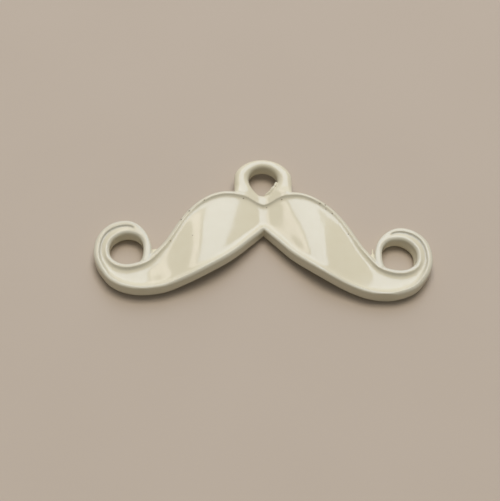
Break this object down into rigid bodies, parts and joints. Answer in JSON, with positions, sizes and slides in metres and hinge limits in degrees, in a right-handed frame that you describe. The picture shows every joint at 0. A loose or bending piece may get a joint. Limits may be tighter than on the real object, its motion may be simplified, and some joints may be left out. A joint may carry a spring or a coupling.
{
  "type": "moustache charm pendant",
  "caption": "Flat cast charm in the shape of a curled moustache, with a raised rim, open curl ends and a hanging eye for a jump ring, painted glossy ivory.",
  "frame": {"origin": "middle of the charm's width and height, at the level of the table under the backs of the curls", "axes": "+X along the moustache towards its right curl as seen from the front, +Y towards the hanging eye, +Z out of the painted face"},
  "size_m": [0.04, 0.0198, 0.0026],
  "materials": {
    "ivory_paint": "thick glossy ivory paint over die-cast zinc"
  },
  "bodies": {
    "root": {"moustache_casting": "ivory_paint"}
  },
  "joints": []
}
